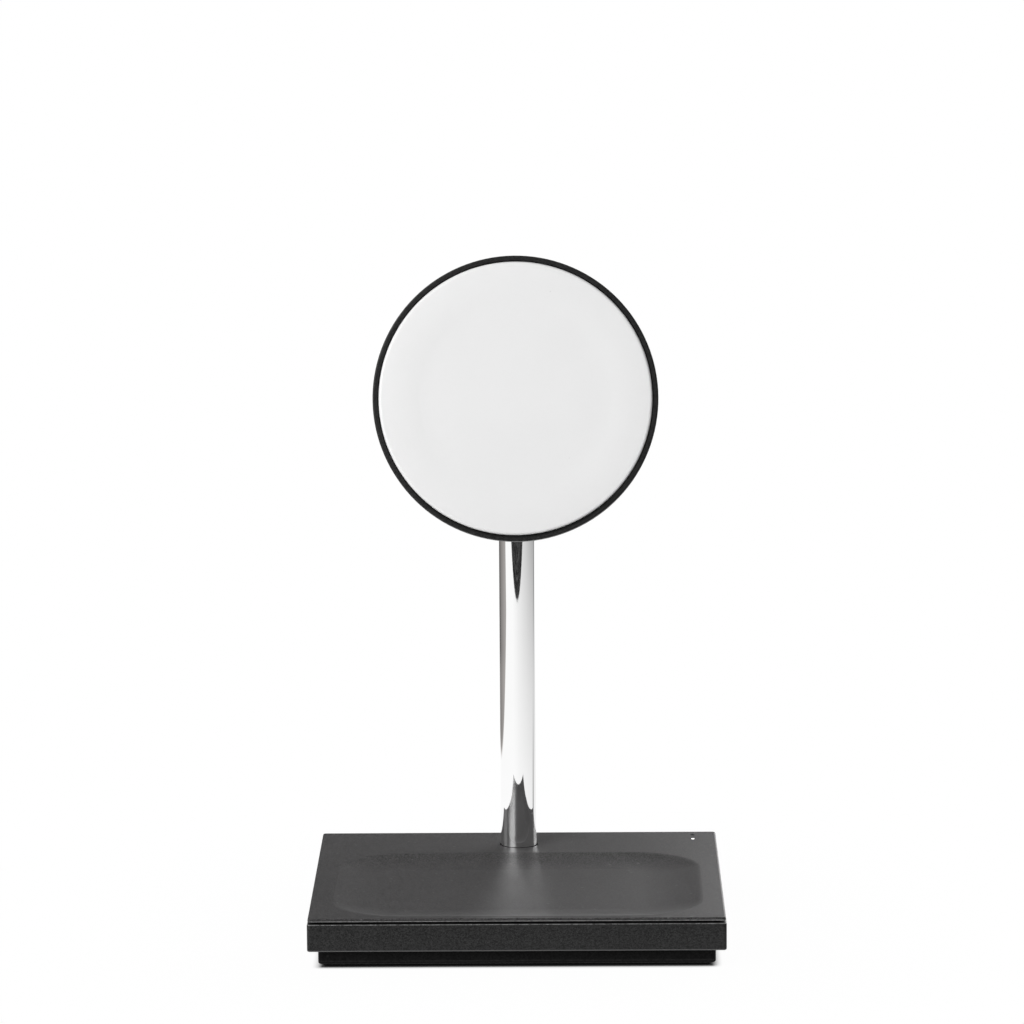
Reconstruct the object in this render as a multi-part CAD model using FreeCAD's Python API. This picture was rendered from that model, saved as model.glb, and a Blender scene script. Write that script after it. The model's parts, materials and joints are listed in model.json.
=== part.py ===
import FreeCAD, Part
import math
import os

# Two-in-one magnetic charger, in millimetres.
# X runs to the right, Y to the back and Z up from the table, with the origin under the middle of the base.

# Base
base_width = 89.2
base_depth = 89.0
base_corner = 0.7
edge_round = 0.35
plinth_inset = 2.25
plinth_corner = 1.0
foot_thickness = 0.7
foot_inset = 1.0
foot_round = 0.4
plate_thickness = 3.2
plate_round = 0.5
housing_height = 5.95
housing_floor = 1.2
housing_wall = 1.8

# Top panel and its tray
panel_inset = 0.15
panel_thickness = 1.2
panel_groove = 0.45
lip_under_round = 0.2
panel_seat_width = 1.2
panel_seat_depth = 0.9
tray_side_margin = 5.0
tray_front_margin = 2.7
tray_rear_margin = 22.2
tray_corner = 15.5
tray_depth = 1.3
tray_slope = 12.0
tray_crest_round = 5.0

# Charging coil under the tray
tray_coil_outer = 42.0
tray_coil_inner = 18.0
tray_coil_thickness = 1.2
tray_ferrite_diameter = 46.0
ferrite_thickness = 0.8
foam_diameter = 40.0
coil_wire = 0.8
coil_tail_spacing = 4.0

# Board and what it carries
board_left_arm = 12.2
board_depth = 24.2
board_thickness = 1.0
board_edge_gap = 0.3
board_notch_gap = 0.8
board_boss_diameter = 4.6
board_screw_inset = 3.0
chip_height = 0.9
controller_size = 7.0
driver_size = 5.0
inductor_size = 5.4
inductor_height = 2.0
inductor_round = 1.2
capacitor_length = 3.2
capacitor_width = 2.5
capacitor_height = 1.6
part_spacing = 8.0
header_length = 6.0
header_depth = 3.4
header_height = 2.0

# Power inlet
usb_width = 8.94
usb_height = 3.26
usb_wall = 0.3
usb_length = 7.3
usb_recess = 0.3
usb_floor_gap = 0.1
usb_port_gap = 0.2
usb_back_block = 2.2
tongue_width = 6.7
tongue_thickness = 0.7
tongue_length = 4.4

# Status lights
light_diameter = 0.7
light_side_margin = 5.4
light_back_margin = 4.0
light_pitch = 4.1
light_bar_width = 1.4
light_bar_height = 0.7
led_length = 1.6
led_width = 0.8
led_height = 0.6
led_gap = 0.1

# Post
post_diameter = 8.0
post_wall = 0.8
post_back_margin = 13.0
post_panel_gap = 0.3
flange_length = 26.0
flange_width = 10.5
flange_thickness = 2.0
flange_corner = 2.0
collar_height = 1.6
lead_diameter = 1.8
lead_bend = 2.0
lead_room = 0.6

# Head
hinge_height = 111.2
rest_tilt = 11.0
lowest_tilt = 0.0
highest_tilt = 45.0
head_diameter = 62.8
head_depth = 8.0
head_back_round = 3.0
head_rim_round = 0.35
shell_back = 1.6
rim_width = 1.1
face_gap = 0.2
face_thickness = 1.8
face_proud = 0.3
face_edge_round = 0.7
face_seat_width = 1.4
face_dish_diameter = 43.5
face_dish_depth = 0.12
face_dish_blend = 1.4
stack_gap = 0.1
coil_margin = 1.0
phone_coil_inner = 20.0
phone_coil_thickness = 1.2
head_ferrite_inner = 18.6
magnet_room = 1.6
magnet_width = 4.3
magnet_inner_gap = 1.5
magnet_thickness = 1.5
magnet_count = 16
magnet_gap_angle = 2.0
back_ring_overlap = 0.2
back_ring_thickness = 0.8
carrier_web = 1.0
carrier_rib_width = 1.4
carrier_screw_offset = 7.0
carrier_boss_diameter = 4.4

# Hinge behind the head
barrel_diameter = 10.0
barrel_length = 12.0
barrel_chamfer = 0.4
neck_length = 1.5
spigot_length = 9.0
web_gap = 1.2
web_thickness = 1.8
web_height = 13.0
web_corner = 1.5
ear_thickness = 3.2
ear_root_round = 0.6
washer_diameter = 8.0
washer_thickness = 0.4
hinge_screw_reach = 3.2
lead_slot_margin = 45.0
lead_end_gap = 1.6
yoke_screw_x = 6.0
yoke_screw_z = 3.6

# Fasteners: shank diameter, head diameter and head height
large_screw = (3.0, 5.5, 1.5)
flush_screw = (3.0, 5.6, 1.4)
small_screw = (2.0, 3.6, 1.1)
boss_diameter = 6.0
boss_headroom = 0.5
screw_end_gap = 0.4
socket_share = 0.5

# Clearances
fit_clearance = 0.05
slip_clearance = 0.2

# Levels of the base, from the table up
plate_top = foot_thickness + plate_thickness
floor_top = plate_top + housing_floor
housing_top = plate_top + housing_height
panel_top = housing_top + panel_thickness
seat_level = housing_top - panel_seat_depth
tray_underside = panel_top - tray_depth - panel_thickness
board_top = tray_underside - tray_coil_thickness + fit_clearance
board_bottom = board_top - board_thickness
boss_top = tray_underside - boss_headroom
usb_level = floor_top + usb_floor_gap + usb_height / 2
lead_level = board_top + header_height / 2
flange_top = floor_top + flange_thickness

# Plan of the base
plinth_width = base_width - 2 * plinth_inset
plinth_depth = base_depth - 2 * plinth_inset
cavity_width = base_width - 2 * (housing_wall + panel_seat_width)
cavity_depth = base_depth - 2 * (housing_wall + panel_seat_width)
tray_width = base_width - 2 * tray_side_margin
tray_length = base_depth - tray_front_margin - tray_rear_margin
tray_y = (tray_front_margin - tray_rear_margin) / 2
post_y = base_depth / 2 - post_back_margin
board_right = cavity_width / 2 - board_edge_gap
notch_half = flange_length / 2 + board_notch_gap
board_left = -(notch_half + board_left_arm)
board_back = cavity_depth / 2 - board_edge_gap
board_front = board_back - board_depth
notch_front = post_y - flange_width / 2 - board_notch_gap
notch_back = post_y + flange_width / 2 + board_notch_gap
usb_mouth = base_depth / 2 - usb_recess
light_x = base_width / 2 - light_side_margin
light_ys = [base_depth / 2 - light_back_margin - light_pitch * step for step in range(2)]
header_back = notch_front - lead_room
post_screw_x = flange_length / 2 - large_screw[1] * 0.75
plate_screw_x = cavity_width / 2 - boss_diameter * 0.75
plate_screw_ys = [-(cavity_depth / 2 - boss_diameter * 0.75), board_front - boss_diameter]
plate_screw_spots = [(side * plate_screw_x, y) for side in (-1, 1) for y in plate_screw_ys]
post_screw_spots = [(side * post_screw_x, post_y) for side in (-1, 1)]
board_screw_spots = [
    (board_left + board_screw_inset, board_back - board_screw_inset),
    (board_left + board_screw_inset, board_front + board_screw_inset),
    (board_right - board_screw_inset, board_front + board_screw_inset),
]

# Head in its own frame: the hinge axis is at zero and the face looks along -Y
head_radius = head_diameter / 2
barrel_radius = barrel_diameter / 2
web_back = -(barrel_radius + web_gap)
shell_outside = web_back - web_thickness
shell_inside = shell_outside - shell_back
rim_front = shell_outside - head_depth
face_front = rim_front - face_proud
face_back = face_front + face_thickness
rim_inner = head_radius - rim_width
seat_inner = rim_inner - face_seat_width
magnet_outer = 2 * (seat_inner - magnet_room)
magnet_inner = magnet_outer - 2 * magnet_width
head_ferrite_outer = magnet_inner - 2 * magnet_inner_gap
phone_coil_outer = head_ferrite_outer - 2 * coil_margin
stack_front = face_back + stack_gap
phone_coil_back = stack_front + phone_coil_thickness
head_ferrite_back = phone_coil_back + ferrite_thickness
magnet_back = stack_front + magnet_thickness
back_ring_back = magnet_back + back_ring_thickness
carrier_back = back_ring_back + carrier_web
ear_inside = barrel_length / 2 + washer_thickness + 2 * fit_clearance
ear_outside = ear_inside + ear_thickness
tube_top = hinge_height - barrel_radius - neck_length
lead_hole = lead_diameter / 2 + lead_room
yoke_screw_spots = [(side * yoke_screw_x, level * yoke_screw_z) for side in (-1, 1) for level in (-1, 1)]
carrier_screw_spots = [(0.0, side * carrier_screw_offset) for side in (-1, 1)]

along_x = FreeCAD.Vector(1, 0, 0)
along_y = FreeCAD.Vector(0, 1, 0)
along_z = FreeCAD.Vector(0, 0, 1)
middle = FreeCAD.Vector(0, 0, 0)


def vec(x, y, z):
    return FreeCAD.Vector(x, y, z)


def rounded_outline(width, depth, radius, level, centre_y=0.0):
    corners = [(1, 1), (-1, 1), (-1, -1), (1, -1)]
    arcs = []
    for turn, (side_x, side_y) in enumerate(corners):
        centre = vec(side_x * (width / 2 - radius), centre_y + side_y * (depth / 2 - radius), level)
        angles = [math.radians(90 * turn + 45 * step) for step in range(3)]
        arcs.append([centre + vec(math.cos(a), math.sin(a), 0) * radius for a in angles])
    edges = []
    for arc, following in zip(arcs, arcs[1:] + arcs[:1]):
        edges.append(Part.Arc(*arc).toShape())
        edges.append(Part.makeLine(arc[2], following[0]))
    return Part.Wire(edges)


def rounded_block(width, depth, radius, low, high, centre_y=0.0):
    outline = rounded_outline(width, depth, radius, low, centre_y)
    return Part.Face(outline).extrude(vec(0, 0, high - low))


def box_between(low, high):
    return Part.makeBox(high[0] - low[0], high[1] - low[1], high[2] - low[2], vec(*low))


def rod(diameter, low, high, spot):
    return Part.makeCylinder(diameter / 2, high - low, vec(spot[0], spot[1], low), along_z)


def lathe(profile, axis=along_y, turn=360):
    points = [vec(r, level, 0) if axis == along_y else vec(r, 0, level) for r, level in profile]
    wire = Part.makePolygon(points + points[:1])
    return Part.Face(wire).revolve(middle, axis, turn)


def ring(inner, outer, front, back, turn=360):
    return lathe([(inner, front), (outer, front), (outer, back), (inner, back)], turn=turn)


def level_edges(shape, level):
    return [e for e in shape.Edges if e.BoundBox.ZLength < 1e-6 and abs(e.BoundBox.ZMin - level) < 1e-6]


def circle_edges(shape, radius, level):
    found = []
    for edge in shape.Edges:
        round_edge = isinstance(edge.Curve, Part.Circle)
        if round_edge and abs(edge.Curve.Radius - radius) < 1e-6 and abs(edge.Curve.Center.y - level) < 1e-6:
            found.append(edge)
    return found


def obround(width, height, front, back, level):
    radius = height / 2
    reach = width / 2 - radius
    top = Part.makeLine(vec(reach, front, level + radius), vec(-reach, front, level + radius))
    left = Part.Arc(vec(-reach, front, level + radius), vec(-width / 2, front, level),
                    vec(-reach, front, level - radius)).toShape()
    bottom = Part.makeLine(vec(-reach, front, level - radius), vec(reach, front, level - radius))
    right = Part.Arc(vec(reach, front, level - radius), vec(width / 2, front, level),
                     vec(reach, front, level + radius)).toShape()
    return Part.Face(Part.Wire([top, left, bottom, right])).extrude(vec(0, back - front, 0))


def hex_socket(across, depth):
    points = []
    for corner in range(6):
        angle = math.radians(60 * corner)
        points.append(vec(across / 2 * math.cos(angle), across / 2 * math.sin(angle), 0))
    return Part.Face(Part.makePolygon(points + points[:1])).extrude(vec(0, 0, depth))


def pan_screw(size, length):
    # Stands on its tip: the head's underside is at zero and the shank points down
    shank, head, height = size
    profile = [(0, -length), (shank / 2, -length), (shank / 2, 0), (head / 2, 0), (head / 2, height), (0, height)]
    body = lathe(profile, along_z)
    top_edges = level_edges(body, height)
    body = body.makeFillet(height * 0.3, top_edges)
    socket = hex_socket(head * socket_share, height)
    socket.translate(vec(0, 0, height * (1 - socket_share)))
    return body.cut(socket)


def countersunk_profile(size, length, clearance):
    shank, head, height = size
    return [(0, 0), (head / 2 + clearance, 0), (shank / 2 + clearance, height),
            (shank / 2 + clearance, length + clearance), (0, length + clearance)]


def aim(shape, direction):
    # Turns a screw that points down so that its shank points along the direction
    turn = FreeCAD.Rotation(vec(0, 0, -1), direction)
    shape.Placement = FreeCAD.Placement(middle, turn)
    return shape


def group(shapes):
    return Part.makeCompound(shapes)


def foot_pad():
    width = plinth_width - 2 * foot_inset
    depth = plinth_depth - 2 * foot_inset
    pad = rounded_block(width, depth, plinth_corner, 0, foot_thickness)
    return pad.makeFillet(foot_round, level_edges(pad, 0))


def base_plate():
    plate = rounded_block(plinth_width, plinth_depth, plinth_corner, foot_thickness, plate_top)
    plate = plate.makeFillet(plate_round, level_edges(plate, foot_thickness))
    for spot in plate_screw_spots:
        hole = lathe(countersunk_profile(flush_screw, plate_thickness, fit_clearance), along_z)
        hole.translate(vec(spot[0], spot[1], foot_thickness))
        plate = plate.cut(hole)
    for spot in post_screw_spots:
        plate = plate.cut(rod(large_screw[0] + 2 * fit_clearance, foot_thickness + screw_end_gap, plate_top, spot))
    return plate


def plate_screws():
    length = boss_top - foot_thickness - 2 * screw_end_gap
    screws = []
    for spot in plate_screw_spots:
        screw = lathe(countersunk_profile(flush_screw, length, 0), along_z)
        socket = hex_socket(flush_screw[1] * socket_share, flush_screw[2] * socket_share)
        screw = screw.cut(socket)
        screw.translate(vec(spot[0], spot[1], foot_thickness))
        screws.append(screw)
    return group(screws)


def base_housing():
    body = rounded_block(base_width, base_depth, base_corner, plate_top, housing_top)
    rims = level_edges(body, plate_top) + level_edges(body, housing_top)
    body = body.makeFillet(edge_round, rims)
    mouth_width = base_width - 2 * housing_wall
    mouth_depth = base_depth - 2 * housing_wall
    body = body.cut(rounded_block(mouth_width, mouth_depth, base_corner, seat_level, housing_top))
    body = body.cut(rounded_block(cavity_width, cavity_depth, base_corner, floor_top, seat_level))
    bosses = [rod(boss_diameter, plate_top, boss_top, spot) for spot in plate_screw_spots]
    bosses += [rod(board_boss_diameter, plate_top, board_bottom, spot) for spot in board_screw_spots]
    body = body.fuse(bosses)
    port_width = usb_width + 2 * usb_port_gap
    port_height = usb_height + 2 * usb_port_gap
    cuts = [obround(port_width, port_height, usb_mouth - usb_length, base_depth, usb_level)]
    for spot in plate_screw_spots:
        cuts.append(rod(flush_screw[0] + 2 * fit_clearance, plate_top, boss_top - screw_end_gap, spot))
    for spot in board_screw_spots:
        cuts.append(rod(small_screw[0] + 2 * fit_clearance, plate_top + screw_end_gap, board_bottom, spot))
    for spot in post_screw_spots:
        cuts.append(rod(large_screw[0] + 2 * fit_clearance, plate_top, floor_top, spot))
    return body.cut(cuts).removeSplitter()


def tray_sections(shift):
    # Rounded outlines down a round wall that ends level with the tray's floor
    curve = (tray_slope ** 2 + tray_depth ** 2) / (2 * tray_depth)
    sections = []
    for step in range(-1, 5):
        inward = tray_slope * step / 4
        rise = curve - math.sqrt(curve ** 2 - (tray_slope - inward) ** 2)
        level = panel_top - tray_depth + rise + shift
        sections.append(rounded_outline(tray_width - 2 * inward, tray_length - 2 * inward,
                                        tray_corner - inward, level, tray_y))
    return sections


def tray_crest(panel):
    # Edges where the tray's wall meets the flat of the panel
    reach_x = tray_width / 2 + fit_clearance
    reach_y = tray_length / 2 + fit_clearance
    crest = []
    for edge in level_edges(panel, panel_top):
        centre = edge.CenterOfMass
        if abs(centre.x) < reach_x and abs(centre.y - tray_y) < reach_y:
            crest.append(edge)
    return crest


def top_panel():
    width = base_width - 2 * panel_inset
    depth = base_depth - 2 * panel_inset
    skirt_gap = housing_wall + slip_clearance
    skirt_width = base_width - 2 * skirt_gap
    skirt_depth = base_depth - 2 * skirt_gap
    skirt_wall = panel_seat_width
    lip_level = housing_top + panel_groove
    lip = rounded_block(width, depth, base_corner, lip_level, panel_top)
    lip = lip.makeFillet(edge_round, level_edges(lip, panel_top))
    lip = lip.makeFillet(lip_under_round, level_edges(lip, lip_level))
    skirt = rounded_block(skirt_width, skirt_depth, base_corner, seat_level, lip_level)
    inside = rounded_block(skirt_width - 2 * skirt_wall, skirt_depth - 2 * skirt_wall, base_corner,
                           seat_level, housing_top)
    bowl = Part.makeLoft(tray_sections(-panel_thickness), True)
    under_lip = rounded_block(skirt_width, skirt_depth, base_corner, tray_underside, lip_level)
    panel = skirt.cut(inside).fuse(lip).fuse(bowl.common(under_lip))
    panel = panel.cut(Part.makeLoft(tray_sections(0), True))
    panel = panel.makeFillet(tray_crest_round, tray_crest(panel))
    holes = [rod(post_diameter + 2 * post_panel_gap, tray_underside, panel_top, (0, post_y))]
    holes += [rod(light_diameter + 2 * fit_clearance, housing_top, panel_top, (light_x, y)) for y in light_ys]
    return panel.cut(holes).removeSplitter()


def tray_coil():
    top = tray_underside
    bottom = top - tray_coil_thickness
    coil = rod(tray_coil_outer, bottom, top, (0, tray_y)).cut(rod(tray_coil_inner, bottom, top, (0, tray_y)))
    rims = [e for e in level_edges(coil, bottom) + level_edges(coil, top)]
    coil = coil.makeFillet(tray_coil_thickness * 0.35, rims)
    tail_start = tray_y + tray_coil_outer / 2 - tray_coil_thickness
    tail_end = board_front + board_screw_inset
    tails = []
    for side in (-1, 1):
        start = vec(side * coil_tail_spacing / 2, tail_start, board_top + coil_wire / 2)
        tails.append(Part.makeCylinder(coil_wire / 2, tail_end - tail_start, start, along_y))
    return coil.fuse(tails)


def tray_ferrite():
    top = tray_underside - tray_coil_thickness
    return rod(tray_ferrite_diameter, top - ferrite_thickness, top, (0, tray_y))


def coil_foam():
    return rod(foam_diameter, floor_top, tray_underside - tray_coil_thickness - ferrite_thickness, (0, tray_y))


def main_board():
    board = box_between((board_left, board_front, board_bottom), (board_right, board_back, board_top))
    notch = box_between((-notch_half, notch_front, board_bottom), (notch_half, notch_back, board_top))
    port_half = usb_width / 2 + fit_clearance
    port = box_between((-port_half, notch_back, board_bottom), (port_half, board_back, board_top))
    holes = [rod(small_screw[0] + 2 * fit_clearance, board_bottom, board_top, spot) for spot in board_screw_spots]
    return board.cut([notch, port] + holes)


def screws_down(size, spots, under_head, length):
    screws = []
    for spot in spots:
        screw = pan_screw(size, length)
        screw.translate(vec(spot[0], spot[1], under_head))
        screws.append(screw)
    return group(screws)


def board_screws():
    length = board_top - plate_top - 2 * screw_end_gap
    return screws_down(small_screw, board_screw_spots, board_top, length)


def post_screws():
    length = flange_top - foot_thickness - 2 * screw_end_gap
    return screws_down(large_screw, post_screw_spots, flange_top, length)


def on_board(size_x, size_y, height, spot, corner):
    block = box_between((spot[0] - size_x / 2, spot[1] - size_y / 2, board_top),
                        (spot[0] + size_x / 2, spot[1] + size_y / 2, board_top + height))
    uprights = [e for e in block.Edges if e.BoundBox.ZLength > height / 2]
    return block.makeFillet(corner, uprights)


def arm_spot(side, column, row):
    # Places along the two arms of the board, beside the foot of the post
    first = notch_half + inductor_size / 2 + board_edge_gap
    return side * (first + part_spacing * column), board_back - inductor_size - part_spacing * row


def control_chips():
    controller = on_board(controller_size, controller_size, chip_height, arm_spot(-1, 0, 1), edge_round)
    drivers = [on_board(driver_size, driver_size, chip_height, arm_spot(1, column, 1), edge_round)
               for column in range(2)]
    return group([controller] + drivers)


def power_inductors():
    return group([on_board(inductor_size, inductor_size, inductor_height, arm_spot(1, column, 0), inductor_round)
                  for column in range(2)])


def board_capacitors():
    spots = [arm_spot(-1, 0, 0), arm_spot(1, 2, 1)]
    return group([on_board(capacitor_length, capacitor_width, capacitor_height, spot, edge_round) for spot in spots])


def lead_header():
    return on_board(header_length, header_depth, header_height, (0, header_back - header_depth / 2), edge_round)


def status_leds():
    return group([on_board(led_length, led_width, led_height, (light_x, y), led_gap) for y in light_ys])


def light_guide():
    low = board_top + led_height + led_gap
    bar_low = housing_top - light_bar_height
    bar = rounded_block(light_bar_width, light_pitch + light_bar_width, light_bar_width * 0.45, bar_low, housing_top,
                        sum(light_ys) / 2)
    bar.translate(vec(light_x, 0, 0))
    pins = []
    for y in light_ys:
        pins.append(rod(light_bar_width * 0.9, low, housing_top, (light_x, y)))
        pins.append(rod(light_diameter, bar_low, panel_top, (light_x, y)))
    return bar.fuse(pins).removeSplitter()


def usb_shell():
    back = usb_mouth - usb_length
    outside = obround(usb_width, usb_height, back, usb_mouth, usb_level)
    inside = obround(usb_width - 2 * usb_wall, usb_height - 2 * usb_wall, back, usb_mouth, usb_level)
    return outside.cut(inside)


def usb_tongue():
    back = usb_mouth - usb_length
    inner_width = usb_width - 2 * (usb_wall + fit_clearance)
    inner_height = usb_height - 2 * (usb_wall + fit_clearance)
    block = obround(inner_width, inner_height, back, back + usb_back_block, usb_level)
    tongue = box_between((-tongue_width / 2, back, usb_level - tongue_thickness / 2),
                         (tongue_width / 2, back + usb_back_block + tongue_length, usb_level + tongue_thickness / 2))
    return block.fuse(tongue).removeSplitter()


def lead_slot():
    half = lead_diameter / 2 + lead_room
    return box_between((-half, post_y - flange_width, lead_level - half), (half, post_y, lead_level + half))


def post_tube():
    tube = rod(post_diameter, floor_top, tube_top, (0, post_y))
    tube = tube.cut(rod(post_diameter - 2 * post_wall, floor_top, tube_top, (0, post_y)))
    return tube.cut(lead_slot())


def post_flange():
    plate = rounded_block(flange_length, flange_width, flange_corner, floor_top, flange_top, post_y)
    collar = rod(flange_width, floor_top, flange_top + collar_height, (0, post_y))
    holes = [rod(post_diameter + 2 * fit_clearance, floor_top, flange_top + collar_height, (0, post_y))]
    holes += [rod(large_screw[0] + 2 * fit_clearance, floor_top, flange_top, spot) for spot in post_screw_spots]
    return plate.fuse(collar).cut(holes + [lead_slot()]).removeSplitter()


def post_lead():
    top = vec(0, post_y, hinge_height - lead_end_gap)
    bend_start = vec(0, post_y, lead_level + lead_bend)
    half = lead_bend * math.sqrt(0.5)
    bend_middle = vec(0, post_y - lead_bend + half, lead_level + lead_bend - half)
    bend_end = vec(0, post_y - lead_bend, lead_level)
    path = Part.Wire([Part.makeLine(top, bend_start), Part.Arc(bend_start, bend_middle, bend_end).toShape(),
                      Part.makeLine(bend_end, vec(0, header_back, lead_level))])
    section = Part.Wire(Part.makeCircle(lead_diameter / 2, top, along_z))
    return path.makePipeShell([section], True, True)


def hinge_knuckle():
    half = barrel_length / 2
    barrel = Part.makeCylinder(barrel_radius, barrel_length, vec(-half, 0, 0), along_x)
    barrel = barrel.makeChamfer(barrel_chamfer, [e for e in barrel.Edges if e.BoundBox.XLength < 1e-6])
    neck_bottom = tube_top - hinge_height
    neck = rod(post_diameter, neck_bottom, 0, (0, 0))
    spigot = rod(post_diameter - 2 * post_wall - 2 * fit_clearance, neck_bottom - spigot_length, 0, (0, 0))
    bore = rod(2 * lead_hole, neck_bottom - spigot_length, 0, (0, 0))
    slot_points = [vec(-lead_hole, 0, 0)]
    reach = barrel_radius * 2
    slot_turn = highest_tilt - lowest_tilt + 2 * lead_slot_margin
    for step in range(4):
        angle = math.radians(lowest_tilt - lead_slot_margin + slot_turn * step / 3)
        slot_points.append(vec(-lead_hole, -reach * math.cos(angle), reach * math.sin(angle)))
    slot = Part.Face(Part.makePolygon(slot_points + slot_points[:1])).extrude(vec(2 * lead_hole, 0, 0))
    pivots = []
    for side in (-1, 1):
        start = vec(side * half, 0, 0)
        depth = hinge_screw_reach + screw_end_gap
        pivots.append(Part.makeCylinder(large_screw[0] / 2 + fit_clearance, depth, start, along_x * -side))
    knuckle = barrel.fuse([neck, spigot]).cut([bore, slot] + pivots).removeSplitter()
    knuckle.translate(vec(0, post_y, hinge_height))
    return knuckle


def head_shell():
    cup = lathe([(lead_hole, shell_outside), (head_radius, shell_outside), (head_radius, rim_front),
                 (rim_inner, rim_front), (rim_inner, face_back), (seat_inner, face_back),
                 (seat_inner, shell_inside), (lead_hole, shell_inside)])
    cup = cup.makeFillet(head_back_round, circle_edges(cup, head_radius, shell_outside))
    cup = cup.makeFillet(head_rim_round, circle_edges(cup, head_radius, rim_front))
    rib_outer = magnet_outer / 2
    rib = ring(rib_outer - carrier_rib_width, rib_outer, carrier_back, shell_inside)
    bosses = []
    holes = []
    for x, z in carrier_screw_spots:
        start = vec(x, shell_inside, z)
        height = shell_inside - carrier_back
        bosses.append(Part.makeCylinder(carrier_boss_diameter / 2, height, start, along_y * -1))
        hole_start = vec(x, shell_outside - screw_end_gap, z)
        depth = shell_outside - screw_end_gap - carrier_back
        holes.append(Part.makeCylinder(small_screw[0] / 2 + fit_clearance, depth, hole_start, along_y * -1))
    for x, z in yoke_screw_spots:
        start = vec(x, shell_outside, z)
        holes.append(Part.makeCylinder(small_screw[0] / 2 + fit_clearance, shell_back, start, along_y * -1))
    return cup.fuse([rib] + bosses).cut(holes).removeSplitter()


def face_disc():
    radius = rim_inner - face_gap
    dish = face_dish_diameter / 2
    disc = lathe([(0, face_front + face_dish_depth), (dish - face_dish_blend, face_front + face_dish_depth),
                  (dish, face_front), (radius, face_front), (radius, face_back), (0, face_back)])
    return disc.makeFillet(face_edge_round, circle_edges(disc, radius, face_front))


def phone_coil():
    coil = ring(phone_coil_inner / 2, phone_coil_outer / 2, stack_front, phone_coil_back)
    rims = [e for r in (phone_coil_inner, phone_coil_outer) for e in circle_edges(coil, r / 2, stack_front)]
    coil = coil.makeFillet(phone_coil_thickness * 0.35, rims)
    level = (stack_front + phone_coil_back) / 2
    inner = lead_diameter / 2 + fit_clearance
    reach = phone_coil_inner / 2 + coil_wire - inner
    tails = []
    for side in (-1, 1):
        tails.append(Part.makeCylinder(coil_wire / 2, reach, vec(side * inner, level, 0), along_x * side))
    return coil.fuse(tails)


def head_ferrite():
    return ring(head_ferrite_inner / 2, head_ferrite_outer / 2, phone_coil_back, head_ferrite_back)


def magnet_ring():
    pitch = 360 / magnet_count
    magnets = []
    for number in range(magnet_count):
        magnet = ring(magnet_inner / 2, magnet_outer / 2, stack_front, magnet_back, pitch - magnet_gap_angle)
        magnet.rotate(middle, along_y, pitch * number)
        magnets.append(magnet)
    return group(magnets)


def magnet_back_ring():
    return ring(magnet_inner / 2 - back_ring_overlap, magnet_outer / 2 + back_ring_overlap, magnet_back, back_ring_back)


def coil_carrier():
    ferrite_edge = head_ferrite_outer / 2 + fit_clearance
    ring_inside = magnet_inner / 2 - back_ring_overlap - fit_clearance
    ring_outside = magnet_outer / 2 + back_ring_overlap + fit_clearance
    edge = seat_inner - slip_clearance
    carrier = lathe([(lead_hole, head_ferrite_back), (ferrite_edge, head_ferrite_back), (ferrite_edge, stack_front),
                     (ring_inside, stack_front), (ring_inside, back_ring_back), (ring_outside, back_ring_back),
                     (ring_outside, stack_front), (edge, stack_front), (edge, carrier_back),
                     (lead_hole, carrier_back)])
    thickness = carrier_back - head_ferrite_back
    holes = []
    for x, z in carrier_screw_spots:
        start = vec(x, head_ferrite_back, z)
        holes.append(Part.makeCylinder(small_screw[0] / 2 + fit_clearance, thickness, start, along_y))
    return carrier.cut(holes)


def screws_across(size, spots, under_head, length, direction):
    screws = []
    for x, z in spots:
        screw = aim(pan_screw(size, length), direction)
        screw.translate(vec(x, under_head, z))
        screws.append(screw)
    return group(screws)


def carrier_screws():
    length = shell_outside - head_ferrite_back - 2 * screw_end_gap
    return screws_across(small_screw, carrier_screw_spots, head_ferrite_back, length, along_y)


def yoke_screws():
    length = shell_back + web_thickness - screw_end_gap
    return screws_across(small_screw, yoke_screw_spots, shell_inside, length, along_y)


def hinge_yoke():
    web = rounded_block(2 * ear_outside, web_height, web_corner, shell_outside, web_back)
    web.rotate(middle, along_x, 90)
    web.rotate(middle, along_z, 180)
    yoke = web
    for side in (-1, 1):
        low = min(side * ear_inside, side * ear_outside)
        high = max(side * ear_inside, side * ear_outside)
        arm = box_between((low, shell_outside, -barrel_radius), (high, 0, barrel_radius))
        eye = Part.makeCylinder(barrel_radius, ear_thickness, vec(low, 0, 0), along_x)
        yoke = yoke.fuse([arm, eye])
    yoke = yoke.removeSplitter()
    roots = []
    for edge in yoke.Edges:
        box = edge.BoundBox
        at_web = box.YLength < 1e-6 and abs(box.YMin - web_back) < 1e-6
        if at_web and box.XLength < 1e-6 and abs(abs(box.XMin) - ear_inside) < 1e-6:
            roots.append(edge)
    yoke = yoke.makeFillet(ear_root_round, roots)
    cuts = [Part.makeCylinder(lead_hole, web_thickness, vec(0, shell_outside, 0), along_y)]
    for x, z in yoke_screw_spots:
        start = vec(x, shell_outside, z)
        cuts.append(Part.makeCylinder(small_screw[0] / 2 + fit_clearance, web_thickness, start, along_y))
    shank, head, height = large_screw
    for side in (-1, 1):
        inside = vec(side * ear_inside, 0, 0)
        sunk = vec(side * (ear_outside - height - fit_clearance), 0, 0)
        cuts.append(Part.makeCylinder(shank / 2 + fit_clearance, ear_thickness, inside, along_x * side))
        cuts.append(Part.makeCylinder(head / 2 + slip_clearance, ear_thickness, sunk, along_x * side))
    return yoke.cut(cuts)


def hinge_screws():
    height = large_screw[2]
    under_head = ear_outside - height - fit_clearance
    length = under_head - barrel_length / 2 + hinge_screw_reach
    screws = []
    for side in (-1, 1):
        screw = aim(pan_screw(large_screw, length), along_x * -side)
        screw.translate(vec(side * under_head, 0, 0))
        screws.append(screw)
    return group(screws)


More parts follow.
